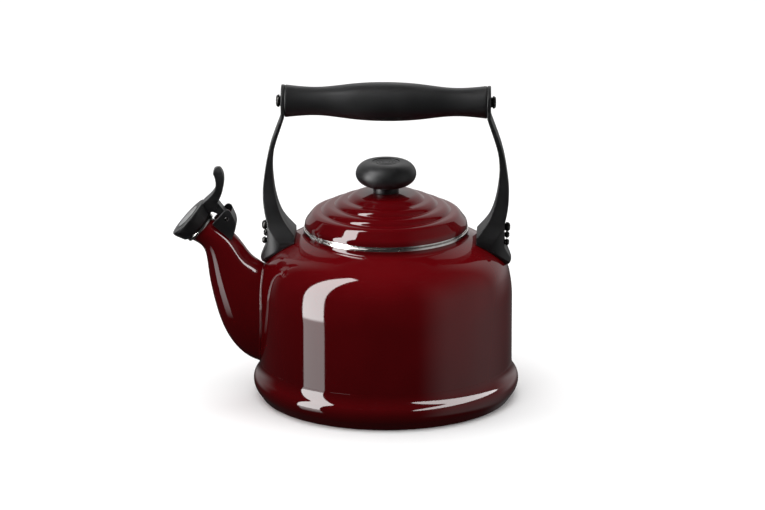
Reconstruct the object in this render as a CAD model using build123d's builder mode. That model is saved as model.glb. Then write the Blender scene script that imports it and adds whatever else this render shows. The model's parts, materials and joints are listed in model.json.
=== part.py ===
from build123d import *
import os
from math import cos, radians, sin

# Stovetop whistling kettle, millimetres, +Z up.
# The origin is the centre of the flat underside.  The spout points along -X and the
# bail handle spans the body from -X to +X, over the lid.

os.makedirs("parts", exist_ok=True)

# ---------------------------------------------------------------- driving dimensions
# Body: a drawn shell with a vertical wall, a rounded shoulder and a short collar.
body_radius = 95.0
body_wall = 1.4
shoulder_start = 77.0            # height at which the vertical wall starts to lean in
shoulder_soft_radius = 88.0      # long, gentle start of the shoulder
shoulder_soft_angle = 12.6
shoulder_round_radius = 32.0     # the shoulder proper
shoulder_round_angle = 46.4
crown_radius = 110.0             # almost flat ring around the lid
crown_angle = 7.0
collar_fillet = 3.0
collar_radius = 61.4             # outside of the short collar round the lid opening
collar_stand = 0.8               # straight height of the collar above its fillet

# Base pan: a flared foot that closes the body from below.
base_flare = 5.0                 # how far the widest point stands out past the body's wall
base_wall = 1.6
base_flare_height = 13.0         # height of the widest point
base_foot_inset = 6.4            # from the widest point in to where the side would meet the table
base_foot_fillet = 2.0
base_side_angle = 37.0           # lean of the lower side, from vertical
base_side_radius = 12.0
base_top_angle = 25.0
base_top_radius = 13.0
base_lip_radius = 3.2
shell_lap = 3.0                  # how far the shell reaches down behind the pan's lip

# Rims of stainless steel.
rim_width = 2.6
rim_height = 2.4
rim_round = 0.7
mouth_rim_width = 2.6
mouth_rim_height = 2.6
mouth_rim_round = 0.9

# Lid: three stepped rings around a raised middle.
lid_inset = 0.3                  # the lid's edge stands this far inside the collar's outside
lid_wall = 1.2
lid_edge_gap = 1.5               # shadow gap between the rim and the lid's lower edge
lid_height = 27.5                # from the rim's top to the seat of the knob
lid_flat_radius = 10.4           # flat seat under the knob's spacer
lid_middle_share = 0.3977         # raised middle, to where it turns down, as a share of the lid's radius
lid_middle_fall = 1.0
lid_middle_drop = 5.1            # from the knob's seat to the innermost crease
lid_ring_inner_share = 0.4697     # radius of the innermost crease, as a share of the lid's radius
lid_outer_ring_width = 12.5      # from the outermost crease to the lid's edge
lid_ring_drop = 4.45
lid_ring_fall = 0.35             # slope of each ring's top
lid_riser = 2.8                  # radial run of the steep part between two rings
lid_outer_narrowing = 1.15
lid_edge_band = 3.0
lid_corner_radii = [20.0, 9.0, 1.2, 7.0, 1.2, 7.0, 1.2, 5.5, 6.0]
lid_shelf_inset = 0.6
skirt_gap = 1.0                  # radial gap between the lid's skirt and the rim
skirt_wall = 1.4
skirt_depth = 9.0

# Knob and what holds it.
knob_radius = 22.75
knob_height = 18.6
knob_waist = 9.2                 # height of the widest point above the knob's underside
knob_foot_radius = 11.0
knob_top_radius = 12.4
knob_ring_width = 2.2
knob_ring_depth = 0.6
spacer_radius = 9.6
spacer_height = 5.0
knob_insert_radius = 4.5
knob_insert_length = 10.0
knob_screw_radius = 2.5
knob_screw_head_radius = 4.6
knob_screw_head_height = 3.0
knob_screw_head_round = 1.0
knob_washer_radius = 7.5
knob_washer_height = 1.2
screw_end_gap = 1.0
screw_slot_width = 0.9
screw_slot_depth = 0.9
screw_dome_share = 0.8           # rounding of a domed head, as a share of its height

# Handle: a turned grip between two arms, held by a tie rod and a screw at each end.
grip_rise = 150.4                # height of the grip's axis above the shoulder's start
grip_length = 151.2
grip_end_radius = 12.3
grip_neck_radius = 10.65
grip_neck_place = 51.5
grip_middle_radius = 14.6
grip_shoulder_place = 24.5
grip_shoulder_radius = 13.4
rod_radius = 3.0
eye_wall = 2.7                   # thickness of the arm's round upper end
grip_screw_radius = 2.2
grip_screw_head_radius = 4.7
grip_screw_head_height = 2.5
grip_screw_length = 14.0
grip_washer_radius = 3.8
grip_washer_height = 1.3
# Faces of the arm: reach past the body's wall, then height above the shoulder's start.
arm_inner_line = [(-27.0, 49.5), (-22.8, 54.7), (-18.3, 61.0), (-13.5, 73.3), (-10.5, 91.0)]
arm_outer_line = [(-6.1, 58.0), (-4.0, 66.5), (-2.8, 79.0), (-4.5, 98.0)]
# Their upper ends: reach past the grip's end, then distance below the grip's axis.
arm_inner_top = [(8.5, 39.4), (4.0, 22.9), (0.0, 10.4)]
arm_outer_top = [(8.4, 33.7), (4.0, 20.9), (0.0, 10.4)]
# Half width across, then height above the shoulder's start, from the rounded lower edge.
arm_side_line = [
    (8.0, 28.4),
    (12.6, 32.0),
    (16.5, 37.0),
    (17.4, 42.0),
    (16.3, 49.0),
    (12.6, 57.5),
    (9.4, 68.0),
    (8.0, 88.0),
]
# Half width across, then distance below the grip's axis.
arm_side_top = [(8.0, 37.4), (9.6, 19.4), (11.6, 3.9)]
foot_seat_inset = 6.0            # flat face that the foot screws bear on, inside the body's wall
foot_seat_below = 3.6
foot_lip_inset = 0.4
foot_lip_rise = 30.0
foot_lip_under = 3.2
foot_lip_drop = 5.0
foot_lip_round = 3.0
foot_soft_corner = 6.0
foot_inner_inset = 27.8
foot_plan_depth = 17.6
foot_plan_half_width = 17.5

# Foot screws and the welded tabs that they go into.
tab_thickness = 2.0
tab_inset = 10.5                 # outer face of the tab, inside the body's wall
tab_half_width = 12.8
tab_rise = 59.0
tab_margin = 3.8                 # straight side above the small screws
tab_point_half_width = 5.0
tab_root_depth = 16.0
large_screw_rise = 54.2
small_screw_rise = 45.2
small_screw_spread = 10.2
large_screw_head_radius = 3.6
large_screw_head_height = 3.3
small_screw_head_radius = 2.6
small_screw_head_height = 2.7
foot_screw_neck = 1.0
foot_screw_neck_step = 0.7
large_screw_radius = 2.0
small_screw_radius = 1.5

# Spout: each station gives the lower and the upper point of the section, as reach out
# from the body's wall and height, and the half width across.
spout_wall = 1.3
mouth_tilt = 47.5                # tilt of the mouth's normal from vertical, towards -X
mouth_reach = 44.6
mouth_height = 128.7
mouth_radius = 11.1
spout_stations = [
    ((43.0, 114.2), (27.4, 130.0), 11.6),
    ((39.7, 104.2), (18.3, 123.2), 12.2),
    ((38.0, 91.0), (8.8, 110.9), 13.2),
    ((32.6, 66.5), (1.6, 104.2), 14.6),
    ((23.1, 43.3), (-2.6, 101.4), 15.6),
    ((9.8, 29.0), (-9.0, 98.0), 16.0),
    ((-8.0, 22.5), (-20.0, 93.0), 16.0),
]

# Whistle: a cap over the mouth, on a lever that turns on a pin.
hinge_reach = 24.4
hinge_height = 137.8
pin_radius = 1.5
knuckle_radius = 3.0
lug_wall = 1.4
lug_half_width = 7.3
lug_eye_radius = 3.0
bracket_wall = 2.1
bracket_half_width = 9.8
lever_half_width = 7.0
lever_bar_half_width = 5.6
spring_gap_half_width = 2.8
spring_wire_radius = 0.4
spring_coil_radius = 2.3
spring_room_radius = 3.2
spring_turns = 4
# Outlines seen from the front, as distances from the hinge's axis: along X, then up.
bracket_corners = [(-10.9, -4.2), (1.3, 9.6), (7.9, -4.5), (3.9, -17.0)]
bracket_rounds = [0.8, 3.0, 14.0, 1.2]
bracket_channel = [
    (1.6, -18.0),
    (6.0, -4.2),
    (2.9, 3.9),
    (8.0, 3.9),
    (8.0, 15.0),
    (-20.0, 15.0),
    (-20.0, -30.0),
]
lug_ear = [(-10.0, -6.0), (-0.8, -13.6), (2.4, -9.7), (3.0, 0.0), (-2.2, 2.5), (-6.9, -2.1)]
lug_channel = [(-11.0, -0.2), (-6.9, -2.1), (2.4, -9.7), (6.0, -9.0), (6.0, 6.0), (-11.0, 6.0)]
lever_bar = [
    (-16.0, 5.0),
    (-10.0, 4.2),
    (-7.4, 3.0),
    (-1.9, -2.3),
    (2.1, 2.1),
    (-1.2, 4.6),
    (-6.9, 11.8),
    (-14.0, 12.0),
]
lever_front_line = [(-17.3, 11.8), (-14.0, 14.9), (-9.1, 21.2), (-8.2, 26.0), (-10.1, 33.6)]
lever_tip = (-8.6, 37.4)
lever_rear_line = [(-5.2, 38.3), (-2.4, 32.0), (-2.3, 25.0), (-4.4, 16.5), (-6.9, 11.8)]
lever_root = [(-7.6, 7.0), (-11.5, 4.4), (-16.0, 5.0), (-19.0, 9.0)]
# Half width across the lever, then height above the hinge.
lever_side_line = [(7.0, 14.0), (6.4, 24.0), (5.6, 33.0), (3.6, 37.0), (0.0, 38.6)]
cap_radius = 17.3
cap_bottom_radius = 13.6
cap_lift = 0.3                   # gap between the closed cap and the mouth's rim
cap_height = 10.9
cap_top_wall = 2.6
cap_cavity_radius = 11.3
cap_edge_round = 0.8
cap_flare = 2.4
cap_foot_height = 1.2
cap_band = 2.4
cap_soft_round = 4.0
cap_vent_width = 4.0
cap_vent_height = 1.2
badge_radius = 12.2
badge_height = 0.9
badge_recess = 0.7
badge_edge = 0.5
badge_dome = 0.5
plate_thickness = 0.8
plate_hole_radius = 1.6
plate_place = 1.4
plate_spacing = 4.4

# Clearances.
screw_clearance = 0.2
running_clearance = 0.06
seat_clearance = 0.05
pocket_clearance = 0.25
side_clearance = 0.25

# ---------------------------------------------------------------- derived places
lean_after_soft = shoulder_soft_angle
lean_after_round = lean_after_soft + shoulder_round_angle
lean_at_crown = lean_after_round + crown_angle


def shoulder_drop(radius, start, end):
    """Radial distance that an arc of this radius uses while it leans from start to end."""
    return radius * (cos(radians(start)) - cos(radians(end)))


def shoulder_rise(radius, start, end):
    """Height that an arc of this radius gains while it leans from start to end."""
    return radius * (sin(radians(end)) - sin(radians(start)))


crown_reach = (
    body_radius
    - shoulder_drop(shoulder_soft_radius, 0, lean_after_soft)
    - shoulder_drop(shoulder_round_radius, lean_after_soft, lean_after_round)
    - shoulder_drop(crown_radius, lean_after_round, lean_at_crown)
)
crown_line = (crown_reach - shoulder_drop(collar_fillet, 0, lean_at_crown) - collar_radius) / sin(
    radians(lean_at_crown)
)
collar_top = (
    shoulder_start
    + shoulder_rise(shoulder_soft_radius, 0, lean_after_soft)
    + shoulder_rise(shoulder_round_radius, lean_after_soft, lean_after_round)
    + shoulder_rise(crown_radius, lean_after_round, lean_at_crown)
    + crown_line * cos(radians(lean_at_crown))
    + shoulder_rise(collar_fillet, 0, lean_at_crown)
    + collar_stand
)
rim_top = collar_top + rim_height
lid_seat = rim_top + lid_height
lid_edge = rim_top + lid_edge_gap
rim_inner = collar_radius - body_wall - (rim_width - body_wall) / 2
skirt_radius = rim_inner - skirt_gap
lid_radius = collar_radius - lid_inset
lid_middle_radius = lid_radius * lid_middle_share
lid_ring_inner = lid_radius * lid_ring_inner_share
lid_ring_pitch = (lid_radius - lid_outer_ring_width - lid_ring_inner) / 2
lid_shelf_radius = lid_radius - lid_shelf_inset
knob_base = lid_seat + spacer_height
grip_height = shoulder_start + grip_rise
arm_inner_reach = grip_length / 2
arm_eye_reach = arm_inner_reach + eye_wall
foot_seat_reach = body_radius - foot_seat_inset
foot_lip_reach = body_radius - foot_lip_inset
foot_lip_height = shoulder_start + foot_lip_rise
foot_inner_reach = body_radius - foot_inner_inset
foot_plan_centre = foot_lip_reach - foot_plan_depth
tab_reach = body_radius - tab_inset
tab_top = shoulder_start + tab_rise
large_screw_height = shoulder_start + large_screw_rise
small_screw_height = shoulder_start + small_screw_rise
base_radius = body_radius + base_flare
base_foot_radius = base_radius - base_foot_inset

mouth_centre = Vector(-(body_radius + mouth_reach), 0, mouth_height)
mouth_normal = Vector(-sin(radians(mouth_tilt)), 0, cos(radians(mouth_tilt)))
mouth_across = Vector(cos(radians(mouth_tilt)), 0, sin(radians(mouth_tilt)))
mouth_section = Plane(origin=mouth_centre, x_dir=mouth_across, z_dir=(0, -1, 0))
mouth_axis = Axis(mouth_centre, mouth_normal)
hinge_x = -(body_radius + hinge_reach)
lip_height = (
    base_flare_height
    + shoulder_rise(base_top_radius, 0, base_top_angle)
    + base_lip_radius * (1 - sin(radians(base_top_angle)))
)
shell_floor = lip_height - base_wall - shell_lap


def save(part, name):
    """Label a finished piece and write it under its node name."""
    part.label = name
    export_step(part, f"parts/{name}.step")


# ---------------------------------------------------------------- working forms
def body_form(inset):
    """Solid inside the body's outer surface, moved inward by inset."""
    with BuildPart() as form:
        with BuildSketch(Plane.XZ):
            with BuildLine():
                side = Line((body_radius - inset, shell_floor), (body_radius - inset, shoulder_start))
                soft = JernArc(side @ 1, (0, 1), shoulder_soft_radius - inset, shoulder_soft_angle)
                main = JernArc(soft @ 1, soft % 1, shoulder_round_radius - inset, shoulder_round_angle)
                crown = JernArc(main @ 1, main % 1, crown_radius - inset, crown_angle)
                slope = Line(crown @ 1, crown @ 1 + crown % 1 * crown_line)
                neck = JernArc(slope @ 1, slope % 1, collar_fillet + inset, -lean_at_crown)
                collar = Line(neck @ 1, (collar_radius - inset, collar_top))
                Polyline(collar @ 1, (0, collar_top), (0, shell_floor), side @ 0)
            make_face()
        revolve(axis=Axis.Z)
    return form.part


def spout_form(inset, overrun):
    """Solid inside the spout's outer surface, moved inward by inset, run past the mouth by overrun."""
    with BuildPart() as form:
        start = mouth_centre + mouth_normal * (overrun - mouth_rim_height / 2)
        with BuildSketch(Plane(origin=start, x_dir=mouth_across, z_dir=mouth_normal)):
            Ellipse(mouth_radius - inset, mouth_radius - inset)
        for lower, upper, half_width in spout_stations:
            low = Vector(-(body_radius + lower[0]), 0, lower[1])
            high = Vector(-(body_radius + upper[0]), 0, upper[1])
            across = (high - low).normalized()
            station = Plane(origin=(low + high) / 2, x_dir=across, z_dir=across.cross(Vector(0, 1, 0)))
            with BuildSketch(station):
                Ellipse((high - low).length / 2 - inset, half_width - inset)
        loft()
    return form.part


body_outside = body_form(0)
body_inside = body_form(body_wall)
spout_outside = spout_form(0, 0)
spout_inside = spout_form(spout_wall, 1.0)

# ---------------------------------------------------------------- body
with BuildPart() as body_shell:
    add(body_outside)
    add(body_inside, mode=Mode.SUBTRACT)
    add(spout_inside, mode=Mode.SUBTRACT)
save(body_shell.part, "body_shell")

with BuildPart() as base_pan:
    with BuildSketch(Plane.XZ):
        with BuildLine():
            lower_side = JernArc(
                (base_radius, base_flare_height), (0, -1), base_side_radius, -base_side_angle
            )
            upper_side = JernArc((base_radius, base_flare_height), (0, 1), base_top_radius, base_top_angle)
            lip = JernArc(upper_side @ 1, upper_side % 1, base_lip_radius, 90 - base_top_angle)
            Line(lip @ 1, (body_radius, lip_height))
            FilletPolyline(
                (0, 0), (base_foot_radius, 0), lower_side @ 1, radius=base_foot_fillet
            )
            offset(amount=base_wall, side=Side.RIGHT)
        make_face()
    revolve(axis=Axis.Z)
save(base_pan.part, "base_pan")

with BuildPart() as opening_rim:
    with BuildSketch(Plane.XZ) as opening_rim_section:
        with Locations((rim_inner, collar_top)):
            Rectangle(rim_width, rim_height, align=(Align.MIN, Align.MIN))
        fillet(opening_rim_section.vertices(), rim_round)
    revolve(axis=Axis.Z)
save(opening_rim.part, "opening_rim")

# ---------------------------------------------------------------- spout
with BuildPart() as spout:
    add(spout_outside)
    add(spout_inside, mode=Mode.SUBTRACT)
    add(body_outside, mode=Mode.SUBTRACT)
save(spout.part, "spout")

with BuildPart() as spout_rim:
    with BuildSketch(mouth_section) as spout_rim_section:
        with Locations((mouth_radius - spout_wall / 2, 0)):
            Rectangle(mouth_rim_width, mouth_rim_height)
        fillet(spout_rim_section.vertices(), mouth_rim_round)
    revolve(axis=mouth_axis)
save(spout_rim.part, "spout_rim")

# ---------------------------------------------------------------- lid
with BuildPart() as lid_shell:
    with BuildSketch(Plane.XZ):
        with BuildLine():
            corners = [(knob_screw_radius + screw_clearance, lid_seat), (lid_flat_radius, lid_seat)]
            corners.append((lid_middle_radius, lid_seat - lid_middle_fall))
            for ring in range(3):
                crease = lid_ring_inner + ring * lid_ring_pitch
                height = lid_seat - lid_middle_drop - ring * lid_ring_drop
                corners.append((crease, height))
                corners.append((crease + lid_ring_pitch - lid_riser, height - lid_ring_fall))
            corners[-1] = (corners[-1][0] - lid_outer_narrowing, corners[-1][1])
            corners.append((lid_radius, lid_edge + lid_edge_band))
            corners.append((lid_radius, lid_edge))
            FilletPolyline(*corners, radius=lid_corner_radii)
            offset(amount=lid_wall, side=Side.RIGHT)
        make_face()
    revolve(axis=Axis.Z)
save(lid_shell.part, "lid_shell")

with BuildPart() as lid_collar:
    with BuildSketch(Plane.XZ):
        with BuildLine():
            Polyline(
                (lid_shelf_radius, rim_top),
                (lid_shelf_radius, lid_edge),
                (skirt_radius - skirt_wall, lid_edge),
                (skirt_radius - skirt_wall, rim_top - skirt_depth),
                (skirt_radius, rim_top - skirt_depth),
                (skirt_radius, rim_top),
                close=True,
            )
        make_face()
    revolve(axis=Axis.Z)
save(lid_collar.part, "lid_collar")

with BuildPart() as knob_spacer:
    with BuildSketch(Plane.XY.offset(lid_seat)):
        Circle(spacer_radius)
        Circle(knob_screw_radius + screw_clearance, mode=Mode.SUBTRACT)
    extrude(amount=spacer_height)
save(knob_spacer.part, "knob_spacer")

with BuildPart() as lid_knob:
    with BuildSketch(Plane.XZ):
        with BuildLine():
            underside = EllipticalCenterArc(
                (knob_foot_radius, knob_base + knob_waist),
                knob_radius - knob_foot_radius,
                knob_waist,
                start_angle=270,
                arc_size=90,
            )
            upper = EllipticalCenterArc(
                (knob_top_radius, knob_base + knob_waist),
                knob_radius - knob_top_radius,
                knob_height - knob_waist,
                start_angle=0,
                arc_size=90,
            )
            Polyline(upper @ 1, (0, knob_base + knob_height), (0, knob_base), underside @ 0)
        make_face()
    revolve(axis=Axis.Z)
    with BuildSketch(Plane.XY.offset(knob_base + knob_height)):
        Circle(knob_top_radius - knob_ring_width)
    extrude(amount=-knob_ring_depth, mode=Mode.SUBTRACT)
    with BuildSketch(Plane.XY.offset(knob_base)):
        Circle(knob_insert_radius)
    extrude(amount=knob_insert_length, mode=Mode.SUBTRACT)
save(lid_knob.part, "lid_knob")

with BuildPart() as knob_insert:
    with BuildSketch(Plane.XY.offset(knob_base)):
        Circle(knob_insert_radius)
        Circle(knob_screw_radius, mode=Mode.SUBTRACT)
    extrude(amount=knob_insert_length)
save(knob_insert.part, "knob_insert")

with BuildPart() as knob_washer:
    with BuildSketch(Plane.XY.offset(lid_seat - lid_wall)):
        Circle(knob_washer_radius)
        Circle(knob_screw_radius + screw_clearance, mode=Mode.SUBTRACT)
    extrude(amount=-knob_washer_height)
save(knob_washer.part, "knob_washer")

with BuildPart() as knob_screw:
    head_seat = lid_seat - lid_wall - knob_washer_height
    with BuildSketch(Plane.XY.offset(head_seat)):
        Circle(knob_screw_head_radius)
    extrude(amount=-knob_screw_head_height)
    fillet(knob_screw.faces().sort_by(Axis.Z)[0].edges(), knob_screw_head_round)
    with BuildSketch(Plane.XY.offset(head_seat)):
        Circle(knob_screw_radius)
    extrude(amount=knob_base + knob_insert_length - screw_end_gap - head_seat)
    with BuildSketch(Plane.XY.offset(head_seat - knob_screw_head_height)):
        Rectangle(2 * knob_screw_head_radius, screw_slot_width)
    extrude(amount=screw_slot_depth, mode=Mode.SUBTRACT)
save(knob_screw.part, "knob_screw")

# ---------------------------------------------------------------- handle
with BuildPart() as handle_grip:
    with BuildSketch(Plane.XZ):
        with BuildLine():
            half = [(grip_neck_place, grip_neck_radius), (grip_shoulder_place, grip_shoulder_radius)]
            outline = [(arm_inner_reach, grip_end_radius), *half, (0, grip_middle_radius)]
            outline += [(-x, radius) for x, radius in reversed(outline[:-1])]
            profile = Spline([(x, grip_height + radius) for x, radius in outline])
            Polyline(
                profile @ 1,
                (-arm_inner_reach, grip_height),
                (arm_inner_reach, grip_height),
                profile @ 0,
            )
        make_face()
    revolve(axis=Axis((0, 0, grip_height), (1, 0, 0)))
    with BuildSketch(Plane.YZ.offset(-arm_inner_reach)):
        with Locations((0, grip_height)):
            Circle(rod_radius + screw_clearance)
    extrude(amount=grip_length, mode=Mode.SUBTRACT)
save(handle_grip.part, "handle_grip")

with BuildPart() as grip_rod:
    with BuildSketch(Plane.YZ.offset(-arm_inner_reach)):
        with Locations((0, grip_height)):
            Circle(rod_radius)
    extrude(amount=grip_length)
    for side in (-1, 1):
        with BuildSketch(Plane.YZ.offset(side * arm_inner_reach)):
            with Locations((0, grip_height)):
                Circle(grip_screw_radius)
        extrude(amount=-side * (grip_screw_length - eye_wall), mode=Mode.SUBTRACT)
save(grip_rod.part, "grip_rod")

with BuildPart() as grip_washers:
    for side in (-1, 1):
        with BuildSketch(Plane.YZ.offset(side * arm_eye_reach)):
            with Locations((0, grip_height)):
                Circle(grip_washer_radius)
                Circle(grip_screw_radius + screw_clearance, mode=Mode.SUBTRACT)
        extrude(amount=side * grip_washer_height)
save(grip_washers.part, "grip_washers")


def domed_screw(place, side, head_radius, head_height, shank_radius, shank_length):
    """Screw with a domed, slotted head that bears at place and points along side * X."""
    with BuildPart() as screw:
        with BuildSketch(Plane(origin=place, x_dir=(0, 1, 0), z_dir=(side, 0, 0))):
            Circle(head_radius)
        extrude(amount=head_height)
        crown = screw.faces().sort_by(Axis.X)[-1 if side > 0 else 0]
        fillet(crown.edges(), head_height * screw_dome_share)
        with BuildSketch(Plane(origin=place, x_dir=(0, 1, 0), z_dir=(side, 0, 0))):
            Circle(shank_radius)
        extrude(amount=-shank_length)
        with BuildSketch(
            Plane(origin=place + Vector(side * head_height, 0, 0), x_dir=(0, 1, 0), z_dir=(side, 0, 0))
        ):
            Rectangle(2 * head_radius, screw_slot_width)
        extrude(amount=-screw_slot_depth, mode=Mode.SUBTRACT)
    return screw.part


with BuildPart() as grip_screws:
    for side in (-1, 1):
        place = Vector(side * (arm_eye_reach + grip_washer_height), 0, grip_height)
        add(
            domed_screw(
                place,
                side,
                grip_screw_head_radius,
                grip_screw_head_height,
                grip_screw_radius,
                grip_screw_length,
            )
        )
save(grip_screws.part, "grip_screws")

large_screw_places = [(0, large_screw_height)]
small_screw_places = [(-small_screw_spread, small_screw_height), (small_screw_spread, small_screw_height)]
foot_screw_rows = [(large_screw_places, large_screw_radius), (small_screw_places, small_screw_radius)]
shank_reach = foot_seat_reach - tab_reach + tab_thickness


def foot_screws(places, head_radius, head_height, radius):
    """Screws of one size on both feet; each has a short neck between the head and the foot."""
    with BuildPart() as screws:
        for side in (-1, 1):
            for y, z in places:
                seat = Vector(side * (foot_seat_reach + foot_screw_neck), y, z)
                add(domed_screw(seat, side, head_radius, head_height, radius, shank_reach + foot_screw_neck))
                with BuildSketch(Plane(origin=seat, x_dir=(0, 1, 0), z_dir=(side, 0, 0))):
                    Circle(head_radius - foot_screw_neck_step)
                extrude(amount=-foot_screw_neck)
    return screws.part


save(
    foot_screws(large_screw_places, large_screw_head_radius, large_screw_head_height, large_screw_radius),
    "foot_screws_large",
)
save(
    foot_screws(small_screw_places, small_screw_head_radius, small_screw_head_height, small_screw_radius),
    "foot_screws_small",
)


def tab_form(grow):
    """Welded tab on the right shoulder, grown on every face, and run down into the body."""
    with BuildPart() as tab:
        with BuildSketch(Plane.YZ.offset(tab_reach - tab_thickness - grow)):
            with BuildLine():
                half = tab_half_width + grow
                top = tab_top + grow
                shoulder_height = small_screw_height + tab_margin + grow
                point = tab_point_half_width + grow
                Polyline(
                    (-half, small_screw_height - tab_root_depth),
                    (-half, shoulder_height),
                    (-point, top),
                    (point, top),
                    (half, shoulder_height),
                    (half, small_screw_height - tab_root_depth),
                    close=True,
                )
            make_face()
        extrude(amount=tab_thickness + 2 * grow)
    return tab.part


with BuildPart() as right_tab:
    add(tab_form(0))
    for places, radius in foot_screw_rows:
        with BuildSketch(Plane.YZ.offset(tab_reach)):
            with Locations(*places):
                Circle(radius)
        extrude(amount=-tab_thickness, mode=Mode.SUBTRACT)
    add(body_outside, mode=Mode.SUBTRACT)
save(right_tab.part, "right_tab")

with BuildPart() as left_tab:
    mirror(right_tab.part, about=Plane.YZ)
save(left_tab.part, "left_tab")


def arm_face(lower_points, end_reach, top_points):
    """Points up one face of the arm: the lower ones go with the body, the upper ones with the grip."""
    points = [(body_radius + reach, shoulder_start + rise) for reach, rise in lower_points]
    return points + [(end_reach + reach, grip_height - drop) for reach, drop in top_points]


with BuildPart() as right_arm:
    # Seen from the front: a thin bowed strip that thickens into the foot.
    with BuildSketch(Plane.XZ):
        with BuildLine():
            inner = Spline(arm_face(arm_inner_line, arm_inner_reach, arm_inner_top))
            outer = Spline(arm_face(arm_outer_line, arm_eye_reach, arm_outer_top))
            heel = FilletPolyline(
                outer @ 0,
                (foot_seat_reach, small_screw_height - foot_seat_below),
                (foot_lip_reach, foot_lip_height),
                (foot_lip_reach - foot_lip_under, foot_lip_height - foot_lip_drop),
                (foot_inner_reach, foot_lip_height - foot_lip_drop),
                radius=[foot_soft_corner, foot_lip_round, foot_lip_round / 2],
            )
            Line(heel @ 1, inner @ 0)
            Polyline(
                inner @ 1,
                (arm_inner_reach, grip_height + grip_end_radius),
                (arm_eye_reach, grip_height + grip_end_radius),
                outer @ 1,
            )
        make_face()
    extrude(amount=foot_plan_half_width, both=True)
    # Seen from the side: a round eye, a narrow waist and a wide foot.
    with BuildSketch(Plane.YZ):
        with BuildLine():
            near_side = [(half_width, shoulder_start + rise) for half_width, rise in arm_side_line]
            near_side += [(half_width, grip_height - drop) for half_width, drop in arm_side_top]
            far_side = [(-half_width, z) for half_width, z in reversed(near_side)]
            shield = Spline([*far_side, (0, foot_lip_height - foot_lip_drop), *near_side])
            Line(shield @ 1, shield @ 0)
        make_face()
        with Locations((0, grip_height)):
            Circle(grip_end_radius)
    extrude(amount=body_radius + foot_lip_reach, mode=Mode.INTERSECT)
    # Seen from above: the foot's outer face is rounded.
    with BuildSketch(Plane.XY):
        with Locations((foot_plan_centre, 0)):
            Ellipse(foot_plan_depth, foot_plan_half_width)
        with Locations((foot_plan_centre, 0)):
            Rectangle(foot_plan_centre, 2 * foot_plan_half_width, align=(Align.MAX, Align.CENTER))
    extrude(amount=grip_height + grip_middle_radius, mode=Mode.INTERSECT)
    add(body_form(-seat_clearance), mode=Mode.SUBTRACT)
    add(tab_form(pocket_clearance), mode=Mode.SUBTRACT)
    for places, radius in foot_screw_rows:
        with BuildSketch(Plane.YZ.offset(tab_reach)):
            with Locations(*places):
                Circle(radius + screw_clearance)
        extrude(amount=foot_seat_reach, mode=Mode.SUBTRACT)
    with BuildSketch(Plane.YZ.offset(arm_inner_reach)):
        with Locations((0, grip_height)):
            Circle(grip_screw_radius + screw_clearance)
    extrude(amount=eye_wall, mode=Mode.SUBTRACT)
save(right_arm.part, "right_arm")

with BuildPart() as left_arm:
    mirror(right_arm.part, about=Plane.YZ)
save(left_arm.part, "left_arm")

# ---------------------------------------------------------------- whistle
with BuildPart() as hinge_pin:
    with BuildSketch(Plane.XZ.offset(-bracket_half_width)):
        with Locations((hinge_x, hinge_height)):
            Circle(pin_radius)
    extrude(amount=2 * bracket_half_width)
save(hinge_pin.part, "hinge_pin")


def from_hinge(points):
    """Points given from the hinge's axis, moved to their place on the kettle."""
    return [(hinge_x + x, hinge_height + z) for x, z in points]


with BuildPart() as whistle_bracket:
    with BuildSketch(Plane.XZ):
        with BuildLine():
            FilletPolyline(*from_hinge(bracket_corners), close=True, radius=bracket_rounds)
        make_face()
    extrude(amount=bracket_half_width, both=True)
    with BuildSketch(Plane.XZ):
        with BuildLine():
            Polyline(*from_hinge(bracket_channel), close=True)
        make_face()
    extrude(amount=bracket_half_width - bracket_wall, both=True, mode=Mode.SUBTRACT)
    with BuildSketch(Plane.XZ):
        with Locations((hinge_x, hinge_height)):
            Circle(pin_radius)
    extrude(amount=bracket_half_width, both=True, mode=Mode.SUBTRACT)
    add(spout_form(-seat_clearance, 0), mode=Mode.SUBTRACT)
save(whistle_bracket.part, "whistle_bracket")

with BuildPart() as spout_lug:
    with BuildSketch(Plane.XZ):
        with BuildLine():
            Polyline(*from_hinge(lug_ear), close=True)
        make_face()
        with Locations((hinge_x, hinge_height)):
            Circle(lug_eye_radius)
    extrude(amount=lug_half_width, both=True)
    with BuildSketch(Plane.XZ):
        with BuildLine():
            Polyline(*from_hinge(lug_channel), close=True)
        make_face()
    extrude(amount=lug_half_width - lug_wall, both=True, mode=Mode.SUBTRACT)
    with BuildSketch(Plane.XZ):
        with Locations((hinge_x, hinge_height)):
            Circle(pin_radius)
    extrude(amount=lug_half_width, both=True, mode=Mode.SUBTRACT)
    add(spout_outside, mode=Mode.SUBTRACT)
save(spout_lug.part, "spout_lug")

cap_base = mouth_rim_height / 2 + cap_lift
cap_face = cap_base + cap_height


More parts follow.
